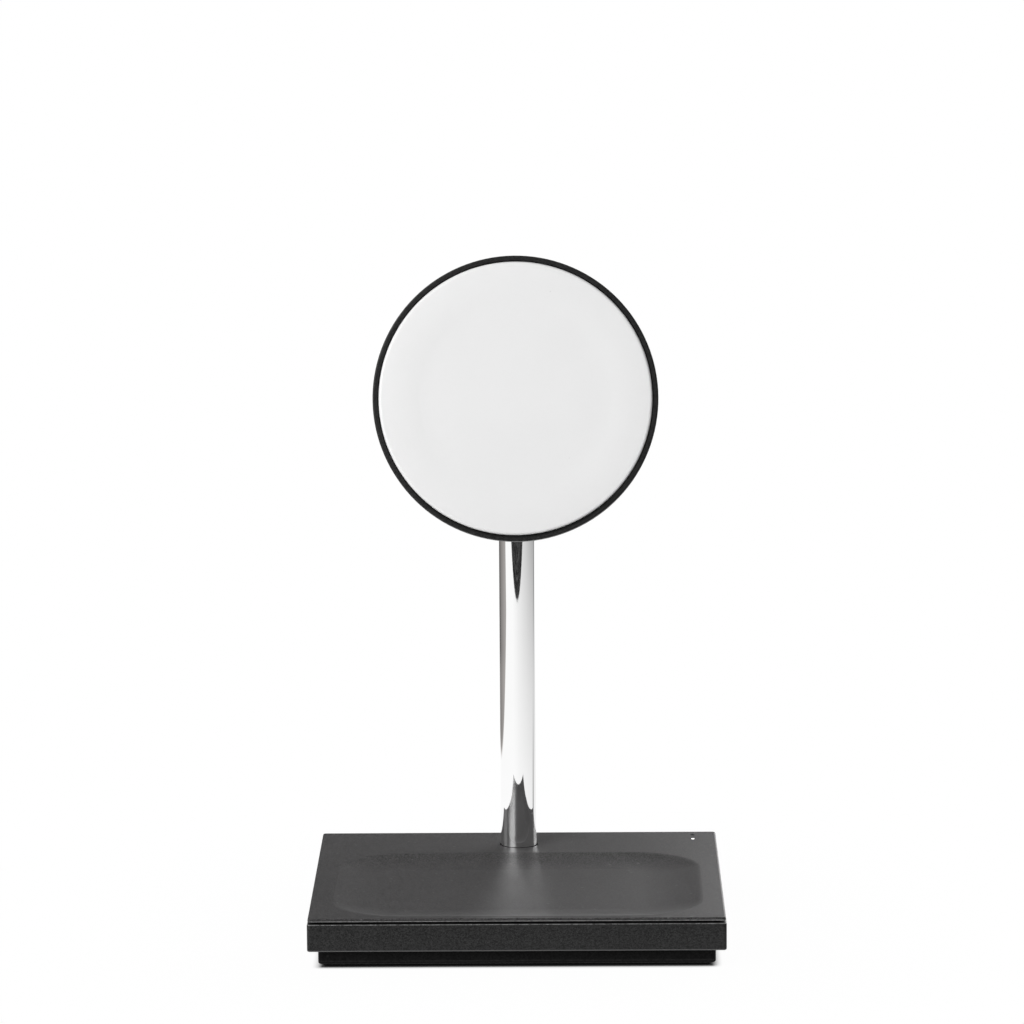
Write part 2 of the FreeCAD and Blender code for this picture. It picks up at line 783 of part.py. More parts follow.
def friction_washers():
    inner = large_screw[0] / 2 + fit_clearance
    washers = []
    for side in (-1, 1):
        start = vec(side * (barrel_length / 2 + fit_clearance), 0, 0)
        disc = Part.makeCylinder(washer_diameter / 2, washer_thickness, start, along_x * side)
        washers.append(disc.cut(Part.makeCylinder(inner, washer_thickness, start, along_x * side)))
    return group(washers)


def head_lead():
    end = (stack_front + phone_coil_back) / 2 - coil_wire / 2
    return Part.makeCylinder(lead_diameter / 2, -lead_end_gap - end, vec(0, -lead_end_gap, 0), along_y * -1)


def tilted(shape):
    shape.rotate(middle, along_x, -rest_tilt)
    shape.translate(vec(0, post_y, hinge_height))
    return shape


stand_pieces = [
    foot_pad, base_plate, plate_screws, base_housing, top_panel, tray_coil, tray_ferrite, coil_foam,
    main_board, board_screws, control_chips, power_inductors, board_capacitors, lead_header, status_leds,
    light_guide, usb_shell, usb_tongue, post_tube, post_flange, post_screws, post_lead, hinge_knuckle,
]
head_pieces = [
    head_shell, face_disc, phone_coil, head_ferrite, magnet_ring, magnet_back_ring, coil_carrier,
    carrier_screws, hinge_yoke, yoke_screws, hinge_screws, friction_washers, head_lead,
]

os.makedirs("parts", exist_ok=True)
for piece in stand_pieces:
    piece().exportStep(f"parts/{piece.__name__}.step")
for piece in head_pieces:
    tilted(piece()).exportStep(f"parts/{piece.__name__}.step")
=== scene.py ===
import json
import math
import bpy
from mathutils import Matrix, Vector


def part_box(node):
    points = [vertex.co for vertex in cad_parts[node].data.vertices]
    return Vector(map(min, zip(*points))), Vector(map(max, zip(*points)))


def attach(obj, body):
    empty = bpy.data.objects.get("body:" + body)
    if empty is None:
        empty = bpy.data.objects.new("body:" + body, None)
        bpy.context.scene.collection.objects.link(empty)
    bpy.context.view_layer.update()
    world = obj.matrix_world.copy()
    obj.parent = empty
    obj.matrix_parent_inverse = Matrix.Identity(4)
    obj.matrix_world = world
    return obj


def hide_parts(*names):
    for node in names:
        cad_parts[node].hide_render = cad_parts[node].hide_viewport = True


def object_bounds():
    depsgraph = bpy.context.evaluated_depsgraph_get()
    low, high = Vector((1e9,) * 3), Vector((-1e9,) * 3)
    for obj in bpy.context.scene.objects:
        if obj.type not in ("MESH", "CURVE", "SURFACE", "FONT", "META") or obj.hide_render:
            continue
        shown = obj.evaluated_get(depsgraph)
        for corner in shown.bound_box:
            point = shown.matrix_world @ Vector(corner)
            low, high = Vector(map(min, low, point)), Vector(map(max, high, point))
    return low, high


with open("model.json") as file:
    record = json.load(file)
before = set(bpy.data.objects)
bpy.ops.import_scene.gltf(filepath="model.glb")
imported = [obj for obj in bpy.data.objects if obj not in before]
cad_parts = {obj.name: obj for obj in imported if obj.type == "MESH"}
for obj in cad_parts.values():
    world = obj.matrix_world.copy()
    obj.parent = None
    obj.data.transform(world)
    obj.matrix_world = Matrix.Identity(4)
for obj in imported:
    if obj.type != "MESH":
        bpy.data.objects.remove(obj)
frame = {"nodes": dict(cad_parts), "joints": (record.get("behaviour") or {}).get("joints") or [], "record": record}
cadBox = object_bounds()
nodes = frame["nodes"]
scene = bpy.context.scene

hingePoint = Vector(frame["joints"][0]["pos_m"])
faceMount = next(mount for mount in frame["record"]["mounts"] if mount["name"] == "phone_face")
faceAxis = Vector(faceMount["axis"])  # straight out of the white face
acrossHead = Vector((1, 0, 0))
upHead = faceAxis.cross(acrossHead)


class Wire:  # one output socket, with maths as plain expressions
    def __init__(self, book, socket):
        self.book = book
        self.socket = socket

    def maths(self, operation, other=0.0):
        return self.book.maths(operation, self, other)

    def __add__(self, other):
        return self.maths("ADD", other)

    def __sub__(self, other):
        return self.maths("SUBTRACT", other)

    def __rsub__(self, other):
        return self.book.maths("SUBTRACT", other, self)

    def __mul__(self, other):
        return self.maths("MULTIPLY", other)

    def __truediv__(self, other):
        return self.maths("DIVIDE", other)

    def __rtruediv__(self, other):
        return self.book.maths("DIVIDE", other, self)

    def __pow__(self, other):
        return self.maths("POWER", other)

    def __rpow__(self, other):
        return self.book.maths("POWER", other, self)

    def __gt__(self, other):
        return self.maths("GREATER_THAN", other)

    def __lt__(self, other):
        return self.maths("LESS_THAN", other)

    def __abs__(self):
        return self.maths("ABSOLUTE")

    __radd__ = __add__
    __rmul__ = __mul__


def grey(value):
    return (value, value, value, 1)


def straight(first, second):  # straight distance over two distances square to each other
    return (first * first + second * second) ** 0.5


def mixed(first, second, share):  # the second's share over the first
    return first * (1 - share) + second * share


class NodeBook:  # the node tree of one material or of the world
    def __init__(self, owner):
        owner.use_nodes = True
        self.owner = owner
        self.tree = owner.node_tree
        self.tree.nodes.clear()

    def add(self, kind, settings=None, sockets=None, out=0):
        node = self.tree.nodes.new(kind)
        for key, value in (settings or {}).items():
            setattr(node, key, value)
        for key, value in (sockets or {}).items():
            if isinstance(value, Wire):
                self.tree.links.new(value.socket, node.inputs[key])
            else:
                node.inputs[key].default_value = value
        return Wire(self, node.outputs[out]) if node.outputs else node

    def maths(self, operation, first, second):
        return self.add("ShaderNodeMath", {"operation": operation}, {0: first, 1: second})

    def place(self):  # the row frame's own place, which stays with the piece as it moves
        return self.add("ShaderNodeTexCoord", out="Object")

    def axes(self, vector):
        split = self.add("ShaderNodeSeparateXYZ", None, {0: vector})
        return [Wire(self, output) for output in split.socket.node.outputs]

    def stretch(self, scale):  # the place, squeezed along each axis
        return self.add("ShaderNodeMapping", None, {"Vector": self.place(), "Scale": scale})

    def noise(self, size, detail=2.0, rough=0.5, at=None):  # size of a feature in metres
        return self.add("ShaderNodeTexNoise", None, {"Vector": at or self.place(), "Scale": 1 / size,
                                                     "Detail": detail, "Roughness": rough}, "Fac")

    def patches(self, size, out, at=None):
        return self.add("ShaderNodeTexVoronoi", None, {"Vector": at or self.place(), "Scale": 1 / size}, out)

    def cells(self, size, at=None):  # tiny patches, each with a level of its own
        return self.axes(self.patches(size, "Color", at))[0]

    def patchy(self, least, size):  # cells that never fall under a least level
        return least + self.cells(size) * (1 - least)

    def specks(self, spacing, size):  # small round dots, one at most in each patch
        return self.soft(self.patches(spacing, "Distance"), size / spacing, 0.0)

    def soft(self, value, low, high):  # smooth step from 0 at low to 1 at high
        return self.add("ShaderNodeMapRange", {"interpolation_type": "SMOOTHSTEP"},
                        {"Value": value, "From Min": low, "From Max": high})

    def line(self, value, level, width):  # 1 at a level, falling to 0 at the width on each side
        return self.soft(abs(value - level), width, 0.0)

    def blend(self, share, dark, light):  # between two colours or wires of colour
        return self.add("ShaderNodeMix", {"data_type": "RGBA"}, {0: share, 6: dark, 7: light}, 2)

    def bump(self, height, strength, depth, normal=None):
        sockets = {"Height": height, "Strength": strength, "Distance": depth}
        if normal:
            sockets["Normal"] = normal
        return self.add("ShaderNodeBump", None, sockets)

    def crowned(self, low, high, lean):  # a wall between two levels that leans out a little at its middle
        off = self.axes(self.place())[2] - (low + high) / 2
        return self.bump(off * off * (-lean / (high - low)), strength=1.0, depth=1.0)

    def vectors(self, operation, first, second, out="Vector"):
        return self.add("ShaderNodeVectorMath", {"operation": operation}, {0: first, 1: second}, out)

    def radius(self, centre, axisA, axisB):  # distance from an axis, given two directions square to it
        away = self.vectors("SUBTRACT", self.place(), centre)
        return straight(*(self.vectors("DOT_PRODUCT", away, axis, "Value") for axis in (axisA, axisB)))

    def ray(self, kind):  # 1 for rays of that kind, else 0
        return self.add("ShaderNodeLightPath", out=kind)

    def glow(self, colour):
        return self.add("ShaderNodeEmission", None, {"Color": colour, "Strength": 1.0})

    def either(self, share, first, second):  # between two shaders
        return self.add("ShaderNodeMixShader", None, {0: share, 1: first, 2: second})

    def finish(self, shader):
        self.add("ShaderNodeOutputMaterial", None, {"Surface": shader})
        return self.owner

    def surface(self, sockets):
        return self.finish(self.add("ShaderNodeBsdfPrincipled", None, sockets))


def newBook(name):
    return NodeBook(bpy.data.materials.new(name))


def grainedPlastic(name, look, marks=None):  # moulded plastic: grain, slow tone drift and stray dust
    book = newBook(name)
    laid = book.stretch(look["lay"])
    grain = book.cells(look["grain"], laid)
    drift = book.noise(look["drift"])
    dust = book.specks(look["dustSpacing"], look["dustSize"])
    tone = book.blend(mixed(grain, drift, look["driftShare"]), look["dark"], look["light"])
    colour = book.blend(dust * look["dustShare"], tone, look["dust"])
    # marks paint shade and highlights into the colour: darkened lips, edge glints, shadow rings
    if marks:
        colour = marks(book, colour)
    height = book.noise(look["grain"], rough=0.6, at=laid)
    crown = book.crowned(*look["crown"]) if "crown" in look else None
    return book.surface({
        "Base Color": colour, "Roughness": look["rough"] + (grain - 0.5) * look["roughSwing"],
        "Normal": book.bump(height, look["bump"], look["grain"] * look["bumpDepth"], crown),
        "Specular IOR Level": look["shine"],
        "Sheen Weight": look["sheen"], "Sheen Roughness": look["sheenRough"]})


def mirrorChrome(name, look):  # polished plate with faint wipe marks
    book = newBook(name)
    wipes = book.noise(look["wipe"], detail=3.0, rough=0.6)
    height = book.noise(look["fine"])
    return book.surface({
        "Base Color": book.blend(wipes, look["dark"], look["light"]), "Metallic": 1.0,
        "Roughness": look["rough"] + wipes * look["roughSwing"],
        "Normal": book.bump(height, look["bump"], look["fine"] * look["bumpDepth"])})


def platedMetal(name, look):  # plain or plated steel with streaks along one axis
    book = newBook(name)
    streaks = book.noise(look["grain"], detail=3.0, rough=0.6, at=book.stretch(look["streak"]))
    stain = book.noise(look["stain"])
    return book.surface({
        "Base Color": book.blend(mixed(streaks, stain, look["stainShare"]), look["dark"], look["light"]),
        "Roughness": look["rough"] + (streaks - 0.5) * look["roughSwing"], "Metallic": 1.0,
        "Normal": book.bump(streaks, look["bump"], look["grain"] * look["bumpDepth"])})


def whiteFace(name, look):  # satin face: almost even, with a few faint marks
    book = newBook(name)
    grain = book.noise(look["grain"], detail=3.0, rough=0.6)
    drift = book.noise(look["drift"])
    marks = book.specks(look["markSpacing"], look["markSize"])
    tone = book.blend(mixed(grain, drift, look["driftShare"]), look["dark"], look["light"])
    return book.surface({
        "Base Color": book.blend(marks * look["markShare"], tone, look["mark"]),
        "Roughness": look["rough"] + (drift - 0.5) * look["roughSwing"], "Specular IOR Level": look["shine"],
        "Normal": book.bump(grain, look["bump"], look["grain"] * look["bumpDepth"])})


def woundCopper(name, look, centre, axisA, axisB):  # enamelled turns about a centre
    book = newBook(name)
    turn = (book.radius(centre, axisA, axisB) / look["wire"]).maths("FRACT")
    crown = 1 - (turn * 2 - 1) ** 2.0
    tint = book.noise(look["tint"])
    # painted shade and highlight: the colour darkens between turns and lightens on each turn's crown
    return book.surface({
        "Base Color": book.blend(mixed(crown, tint, look["tintShare"]), look["dark"], look["light"]),
        "Roughness": look["rough"], "Metallic": 1.0,
        "Normal": book.bump(crown, look["bump"], look["wire"] * look["bumpDepth"])})


def solderMask(name, look):  # board: mask over tracks, with small bare pads
    book = newBook(name)
    tracks = book.add("ShaderNodeTexBrick", {"offset": 0.5}, {
        "Vector": book.place(), "Scale": 1 / look["track"], "Color1": grey(1),
        "Color2": grey(look["lowTrack"]), "Mortar": grey(0), "Mortar Size": look["trackGap"]})
    height = book.add("ShaderNodeRGBToBW", None, {0: tracks})
    pads = book.specks(look["padSpacing"], look["padSize"]) > look["padEdge"]
    mask = book.blend(height, look["dark"], look["light"])
    return book.surface({
        "Base Color": book.blend(pads, mask, look["pad"]), "Metallic": pads, "Roughness": look["rough"],
        "Normal": book.bump(height, look["bump"], look["track"] * look["bumpDepth"])})


def contactTongue(name, look):  # black tongue with a row of plated contact strips
    book = newBook(name)
    x, y = book.axes(book.place())[:2]
    strip = abs((x / look["pitch"]).maths("FRACT") - 0.5) < look["share"] / 2
    strip = strip * (abs(x) < look["half"]) * (y > look["from"]) * (y < look["to"])
    grain = book.cells(look["grain"])
    return book.surface({
        "Base Color": book.blend(strip, book.blend(grain, look["dark"], look["light"]), look["plate"]),
        "Metallic": strip, "Roughness": look["rough"] + grain * look["roughSwing"]})


def lightPoints(name, look):  # clear pins: the front one is lit
    book = newBook(name)
    lit = book.axes(book.place())[1] < look["splitY"]
    haze = book.noise(look["haze"])
    glow = lit * (1 - look["hazeShare"] + haze * look["hazeShare"])
    return book.surface({
        "Base Color": book.blend(lit, look["off"], look["on"]), "Specular IOR Level": 0.0,
        "Roughness": look["rough"] + haze * look["roughSwing"],
        "Emission Color": book.blend(glow, grey(0), look["glow"]), "Emission Strength": look["strength"]})


def dress(material, *names):
    for name in names:
        slots = nodes[name].data.materials
        slots.clear()
        slots.append(material)


# base: soft-touch tray panel over a box, on a dark plinth
panelBox, boxBox, plateBox, guideBox = (
    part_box(name) for name in ("top_panel", "base_housing", "base_plate", "light_guide"))
trayPanel = {
    "dark": grey(0.012), "light": (0.088, 0.085, 0.086, 1), "grain": 0.00019, "lay": (1, 0.5, 1),
    "drift": 0.03, "driftShare": 0.2, "rough": 0.45, "roughSwing": 0.1, "bump": 0.35, "bumpDepth": 0.25,
    "shine": 0.1, "sheen": 0.07, "sheenRough": 0.3,
    "dustSpacing": 0.0038, "dustSize": 0.00042, "dust": grey(0.25), "dustShare": 0.4,
    "lipBand": 0.00024, "lipFrom": 0.00026, "lipTo": 0.00038, "lipShadeTone": grey(0.012),
    "glintRise": 0.00062, "glintLine": 0.0002, "glintTone": grey(0.26), "glintLeast": 0.5, "glintGrain": 0.0004,
    "pinRadius": 0.00035, "pinRim": 0.00055, "pinRimFade": 0.00066, "pinShadeTone": grey(0.0),
}


def panelPaintedLight(book, tone):  # painted shade on the lip, a painted highlight along its lower edge, and a painted shadow round the unlit light
    x, y, z = book.axes(book.place())
    far = panelBox[1]
    # painted shade: the lip's faces are darkened to the lip tone
    lip = book.soft(abs(x), far.x - trayPanel["lipBand"], far.x)
    lip = lip.maths("MAXIMUM", book.soft(abs(y), far.y - trayPanel["lipBand"], far.y))
    lip = lip * book.soft(z, far.z - trayPanel["lipFrom"], far.z - trayPanel["lipTo"])
    tone = book.blend(lip, tone, trayPanel["lipShadeTone"])
    # painted highlight: a light grainy line along the lip's lower edge
    edgeGlint = book.line(z, boxBox[1].z + trayPanel["glintRise"], trayPanel["glintLine"])
    edgeGlint = edgeGlint * lip * book.patchy(trayPanel["glintLeast"], trayPanel["glintGrain"])
    tone = book.blend(edgeGlint, tone, trayPanel["glintTone"])
    # painted shadow: a dark ring on the panel round the hole of the unlit pin
    pinX, pinY = (guideBox[0].x + guideBox[1].x) / 2, guideBox[1].y - trayPanel["pinRadius"]
    rim = book.soft(straight(x - pinX, y - pinY), trayPanel["pinRimFade"], trayPanel["pinRim"])
    return book.blend(rim, tone, trayPanel["pinShadeTone"])


dress(grainedPlastic("trayPanelSoftTouch", trayPanel, panelPaintedLight), "top_panel")

boxWalls = dict(
    trayPanel, dark=grey(0.003), light=grey(0.0375), grain=0.00018, lay=(1, 1, 1), rough=0.42, bump=0.5,
    shine=0.16, sheen=0.0, dustSize=0.00022, crown=(boxBox[0].z, boxBox[1].z, 0.2),
    edge=0.00011, edgeTone=grey(0.32), glintLeast=0.1, glintGrain=0.0003,
    footRise=0.000165, footLine=0.00022, footTone=grey(0.13))


def boxGlints(book, tone):  # painted highlights: glint dots along the top edge and a light line along the bottom edge
    z = book.axes(book.place())[2]
    dots = book.line(z, boxBox[1].z - boxWalls["edge"], boxWalls["edge"])
    dots = dots * book.patchy(boxWalls["glintLeast"], boxWalls["glintGrain"])
    tone = book.blend(dots, tone, boxWalls["edgeTone"])
    foot = book.line(z, boxBox[0].z + boxWalls["footRise"], boxWalls["footLine"])
    return book.blend(foot, tone, boxWalls["footTone"])


dress(grainedPlastic("boxTexturedPlastic", boxWalls, boxGlints), "base_housing")

plinth = dict(
    trayPanel, dark=grey(0.002), light=grey(0.0108), grain=0.0003, lay=(1, 1, 1), rough=0.55, bump=0.3,
    shine=0.06, sheen=0.0, dustShare=0.1, edge=0.00025, edgeRise=0.0007, edgeTone=grey(0.02), glintLeast=0.2)


def plinthGlint(book, tone):  # painted highlight: a faint light line just above the rounded foot of the plinth
    z = book.axes(book.place())[2]
    edgeGlint = book.line(z, plateBox[0].z + plinth["edgeRise"], plinth["edge"])
    edgeGlint = edgeGlint * book.patchy(plinth["glintLeast"], plinth["glintGrain"])
    return book.blend(edgeGlint, tone, plinth["edgeTone"])


dress(grainedPlastic("plinthPowderCoat", plinth, plinthGlint), "base_plate")

footRubber = dict(plinth, dark=grey(0.004), light=grey(0.009), grain=0.0004, rough=0.8, bump=0.4)
dress(grainedPlastic("footRubber", footRubber), "foot_pad")

lightDots = {
    "splitY": (guideBox[0].y + guideBox[1].y) / 2, "off": grey(0.006), "on": grey(0.8), "glow": grey(1),
    "strength": 2.6, "haze": 0.0004, "hazeShare": 0.1, "rough": 0.25, "roughSwing": 0.1,
}
dress(lightPoints("lightPins", lightDots), "light_guide")
print("base dressed")

# post and hinge
postChrome = {
    "wipe": 0.012, "fine": 0.0008, "dark": grey(0.94), "light": grey(0.98),
    "rough": 0.012, "roughSwing": 0.015, "bump": 0.004, "bumpDepth": 0.1,
}
dress(mirrorChrome("postChrome", postChrome), "post_tube", "hinge_knuckle")

yokeCoat = dict(plinth, dark=grey(0.012), light=grey(0.022), rough=0.42, bump=0.25, shine=0.5)
dress(grainedPlastic("yokeCoat", yokeCoat), "hinge_yoke")

screwSteel = {
    "streak": (1, 1, 1), "grain": 0.0003, "stain": 0.002, "stainShare": 0.4, "dark": grey(0.3),
    "light": grey(0.5), "rough": 0.32, "roughSwing": 0.15, "bump": 0.15, "bumpDepth": 0.1,
}
screwNames = [name for name in nodes if name.endswith("_screws")]
dress(platedMetal("screwZinc", screwSteel), *screwNames)

plainSteel = dict(screwSteel, streak=(1, 8, 8), dark=grey(0.42), light=grey(0.62), rough=0.38)
dress(platedMetal("plainSteel", plainSteel),
      "post_flange", "magnet_back_ring", "friction_washers", "usb_shell")

magnetNickel = dict(screwSteel, dark=(0.5, 0.48, 0.45, 1), light=(0.72, 0.7, 0.66, 1), rough=0.25)
dress(platedMetal("magnetNickel", magnetNickel), "magnet_ring")
print("post and hinge dressed")

# head: dark cup and white face
rimPlastic = dict(
    plinth, dark=grey(0.002), light=grey(0.016), grain=0.00026, rough=0.45, shine=0.3, dustShare=0.2,
    faceShadowFrom=0.03075, faceShadowTo=0.03055, faceShadowTop=-0.016, faceShadowFoot=-0.022, faceShadowTone=grey(0.0))


def rimFaceShadow(book, tone):  # painted shadow: the rim next to the face is dark along its lower half, under the face's edge
    radius = book.radius(hingePoint, acrossHead, upHead)
    faceShadow = book.soft(radius, rimPlastic["faceShadowFrom"], rimPlastic["faceShadowTo"])
    drop = book.axes(book.place())[2] - hingePoint.z
    faceShadow = faceShadow * book.soft(drop, rimPlastic["faceShadowTop"], rimPlastic["faceShadowFoot"])
    return book.blend(faceShadow, tone, rimPlastic["faceShadowTone"])


dress(grainedPlastic("rimPlastic", rimPlastic, rimFaceShadow), "head_shell", "coil_carrier")

faceSatin = {
    "dark": grey(0.80), "light": grey(0.84), "grain": 0.0005, "drift": 0.02, "driftShare": 0.6,
    "rough": 0.48, "roughSwing": 0.08, "bump": 0.04, "bumpDepth": 0.2, "shine": 0.4,
    "markSpacing": 0.011, "markSize": 0.00022, "mark": grey(0.35), "markShare": 0.35,
}
faceForm = {
    "turnSteps": 192, "plainSteps": 8, "fineStep": 0.0002, "roundSteps": 10, "sharpAngle": 50,
    "dish": 0.00012, "ease": 0.00011, "easeFrom": 0.0211, "easeTo": 0.0253,
    "crownFrom": 0.0252, "crown": 5.2, "edgeRound": 0.0007,
}


def faceLevel(radius):  # front of the face against the disc's front plane: eased dish, crowned border
    share = (radius - faceForm["easeFrom"]) / (faceForm["easeTo"] - faceForm["easeFrom"])
    share = min(max(share, 0), 1)
    eased = share * (2 - share)
    past = max(radius - faceForm["crownFrom"], 0)
    return eased * faceForm["ease"] - faceForm["dish"] - past * past * faceForm["crown"]


def faceRings(outer, front, back):  # radius and depth of each ring, from the middle over the edge to the back
    start, curve = faceForm["easeFrom"], faceForm["edgeRound"]
    edge = outer - curve
    plain = [start * step / faceForm["plainSteps"] for step in range(1, faceForm["plainSteps"])]
    fineSteps = round((edge - start) / faceForm["fineStep"])
    fine = [start + (edge - start) * step / fineSteps for step in range(fineSteps + 1)]
    rings = [(radius, front + faceLevel(radius)) for radius in plain + fine]
    lean = math.atan(2 * faceForm["crown"] * (edge - faceForm["crownFrom"]))
    middle = rings[-1][1] - curve * math.cos(lean)
    for step in range(1, faceForm["roundSteps"] + 1):
        angle = lean + (math.pi / 2 - lean) * step / faceForm["roundSteps"]
        rings.append((edge + curve * math.sin(angle), middle + curve * math.cos(angle)))
    return rings + [(outer, back)]


def turnFace():  # takes its depth and outer radius from the disc that it stands for
    offsets = [corner.co - hingePoint for corner in nodes["face_disc"].data.vertices]
    depths = [offset.dot(faceAxis) for offset in offsets]
    front, back = max(depths), min(depths)
    outer = max((offset - faceAxis * depth).length for offset, depth in zip(offsets, depths))
    rings = faceRings(outer, front, back)
    count = faceForm["turnSteps"]
    points = [hingePoint + faceAxis * (front + faceLevel(0)), hingePoint + faceAxis * back]
    first, last = len(points), len(points) + (len(rings) - 1) * count
    for radius, depth in rings:
        for step in range(count):
            angle = 2 * math.pi * step / count
            out = acrossHead * math.cos(angle) + upHead * math.sin(angle)
            points.append(hingePoint + faceAxis * depth + out * radius)
    faces = []
    for step in range(count):
        after = (step + 1) % count
        faces.append((0, first + step, first + after))
        faces.append((1, last + after, last + step))
        for ring in range(first, last, count):
            faces.append((ring + step, ring + count + step, ring + count + after, ring + after))
    mesh = bpy.data.meshes.new("face")
    mesh.from_pydata(points, [], faces)
    mesh.shade_smooth()
    mesh.set_sharp_from_angle(angle=math.radians(faceForm["sharpAngle"]))
    mesh.materials.append(whiteFace("faceSatin", faceSatin))
    face = bpy.data.objects.new("face", mesh)
    scene.collection.objects.link(face)
    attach(face, "head")
    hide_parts("face_disc")


turnFace()
print("head dressed")

# inside pieces
turns = {
    "wire": 0.00105, "dark": (0.25, 0.08, 0.03, 1), "light": (0.8, 0.36, 0.16, 1), "tint": 0.004,
    "tintShare": 0.3, "rough": 0.32, "bump": 0.6, "bumpDepth": 0.5,
}
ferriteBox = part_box("tray_ferrite")
trayMiddle = (ferriteBox[0] + ferriteBox[1]) / 2
dress(woundCopper("trayCoilCopper", turns, trayMiddle, Vector((1, 0, 0)), Vector((0, 1, 0))), "tray_coil")
dress(woundCopper("phoneCoilCopper", turns, hingePoint, acrossHead, upHead), "phone_coil")

sinter = dict(plinth, dark=grey(0.03), light=grey(0.06), grain=0.0002, rough=0.7)
dress(grainedPlastic("ferriteSinter", sinter), "tray_ferrite", "head_ferrite")
foam = dict(plinth, dark=grey(0.05), light=grey(0.16), grain=0.0006, rough=0.95, bump=0.9)
dress(grainedPlastic("foamCells", foam), "coil_foam")
moulded = dict(plinth, dark=grey(0.014), light=grey(0.026), grain=0.0002, rough=0.5)
dress(grainedPlastic("mouldedBlack", moulded), "control_chips", "power_inductors", "post_lead", "head_lead")

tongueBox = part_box("usb_tongue")
tongue = {
    "pitch": 0.0005, "share": 0.5, "half": 0.003,
    "from": tongueBox[1].y - 0.004, "to": tongueBox[1].y - 0.0005,
    "grain": 0.0002, "dark": grey(0.008), "light": grey(0.02), "plate": (0.72, 0.53, 0.24, 1),
    "rough": 0.35, "roughSwing": 0.1,
}
dress(contactTongue("inletTongue", tongue), "usb_tongue")

fired = dict(plinth, dark=(0.3, 0.2, 0.12, 1), light=(0.5, 0.36, 0.22, 1))
dress(grainedPlastic("capacitorFired", fired), "board_capacitors")
paleNylon = dict(plinth, dark=(0.66, 0.65, 0.6, 1), light=(0.8, 0.79, 0.75, 1), grain=0.0004)
dress(grainedPlastic("paleNylon", paleNylon), "lead_header", "status_leds")

board = {
    "track": 0.004, "lowTrack": 0.6, "trackGap": 0.08, "padSpacing": 0.003, "padSize": 0.0008, "padEdge": 0.5,
    "dark": (0.008, 0.06, 0.025, 1), "light": (0.02, 0.14, 0.06, 1), "pad": (0.7, 0.6, 0.35, 1),
    "rough": 0.35, "bump": 0.3, "bumpDepth": 0.05,
}
dress(solderMask("boardMask", board), "main_board")
print("inside dressed")

# camera at the photograph's angle
view = {
    "place": Vector((0.0098, -1.2913, 0.2918)), "pitch": 8.82, "yaw": -0.47, "turn": -0.37, "focal": 6010,
    "pixels": 1024, "sensor": 36, "clip": (0.05, 30),
}


def aimCamera():
    pitch, yaw, turn = (math.radians(view[key]) for key in ("pitch", "yaw", "turn"))
    ahead = Vector((math.sin(yaw) * math.cos(pitch), math.cos(yaw) * math.cos(pitch), -math.sin(pitch)))
    right = Vector((math.cos(yaw), -math.sin(yaw), 0))
    above = right.cross(ahead)
    turnedRight = math.cos(turn) * right + math.sin(turn) * above
    turnedAbove = math.cos(turn) * above - math.sin(turn) * right
    data = bpy.data.cameras.new("camera")
    data.sensor_width = view["sensor"]
    data.lens = view["focal"] / view["pixels"] * view["sensor"]
    data.clip_start, data.clip_end = view["clip"]
    camera = bpy.data.objects.new("camera", data)
    turnedFrame = Matrix((turnedRight, turnedAbove, -ahead)).transposed().to_4x4()
    camera.matrix_world = Matrix.Translation(view["place"]) @ turnedFrame
    scene.collection.objects.link(camera)
    scene.camera = camera


aimCamera()

# floor: white paper to the camera, with the shade under the plinth
floorPlan = {
    "half": 6.0, "drop": 0.00002, "paper": 0.86, "contact": 0.95, "contactReach": 0.0026,
    "shade": 0.03, "shadeReach": 0.0014, "wash": 0.02, "washReach": 0.08,
}
# the table as the chrome shows it: distances from the post, and turned from -1 in front to 1 behind
tablePlan = {
    "leastReach": 0.001, "frontEdge": -0.367, "frontSoft": 0.003, "frontBow": 0.1,
    "room": 0.008, "roomWeave": 0.1, "weaveSize": 0.0022, "weaveLay": (0.033, 1, 1),
    "greyFrom": (-0.1517, 0.1115), "greyTurn": (-0.634, 0.773), "greyEdge": (-0.004, 0.016),
    "greyFront": -0.06, "greyFrontSoft": 0.007, "greyRight": 0.03, "warm": (1.0, 0.95, 0.92, 1),
    "greySide": 0.38, "greyFall": 0.215, "greyFallFrom": 0.05,
    "greyFar": 0.06, "farTurned": (0.64, 0.8), "farReach": (0.28, 0.32),
    "greyNear": 0.05, "nearReach": (0.32, 0.27), "greyEnd": 0.25, "endReach": (0.2, 0.13),
    "rightFall": 1.0, "rightFrom": 0.25, "whiteTurned": (0.74, 0.84),
    "stripe": 0.22, "stripeSlant": 1.05, "stripeStart": (0.09, 0.17), "stripeStop": (0.33, 0.25),
    "stripeFade": 0.42, "stripePale": (0.26, 0.2),
}


def buildFloor():
    mesh = bpy.data.meshes.new("floor")
    half = floorPlan["half"]
    corners = [(-half, -half, 0), (half, -half, 0), (half, half, 0), (-half, half, 0)]
    mesh.from_pydata(corners, [], [(0, 1, 2, 3)])
    mesh.materials.append(floorPaper())
    floor = bpy.data.objects.new("floor", mesh)
    scene.collection.objects.link(floor)
    floor.location.z = cadBox[0][2] - floorPlan["drop"]


def greyTable(book, reach, turned):  # level of the grey behind on the left
    plan = tablePlan
    level = plan["greySide"] - (turned + plan["greyFallFrom"]) * plan["greyFall"]
    far = book.soft(turned, *plan["farTurned"]) * book.soft(reach, *plan["farReach"])
    level = level - far * plan["greyFar"]
    level = level + book.soft(reach, *plan["nearReach"]) * plan["greyNear"]
    return level + book.soft(reach, *plan["endReach"]) * plan["greyEnd"]


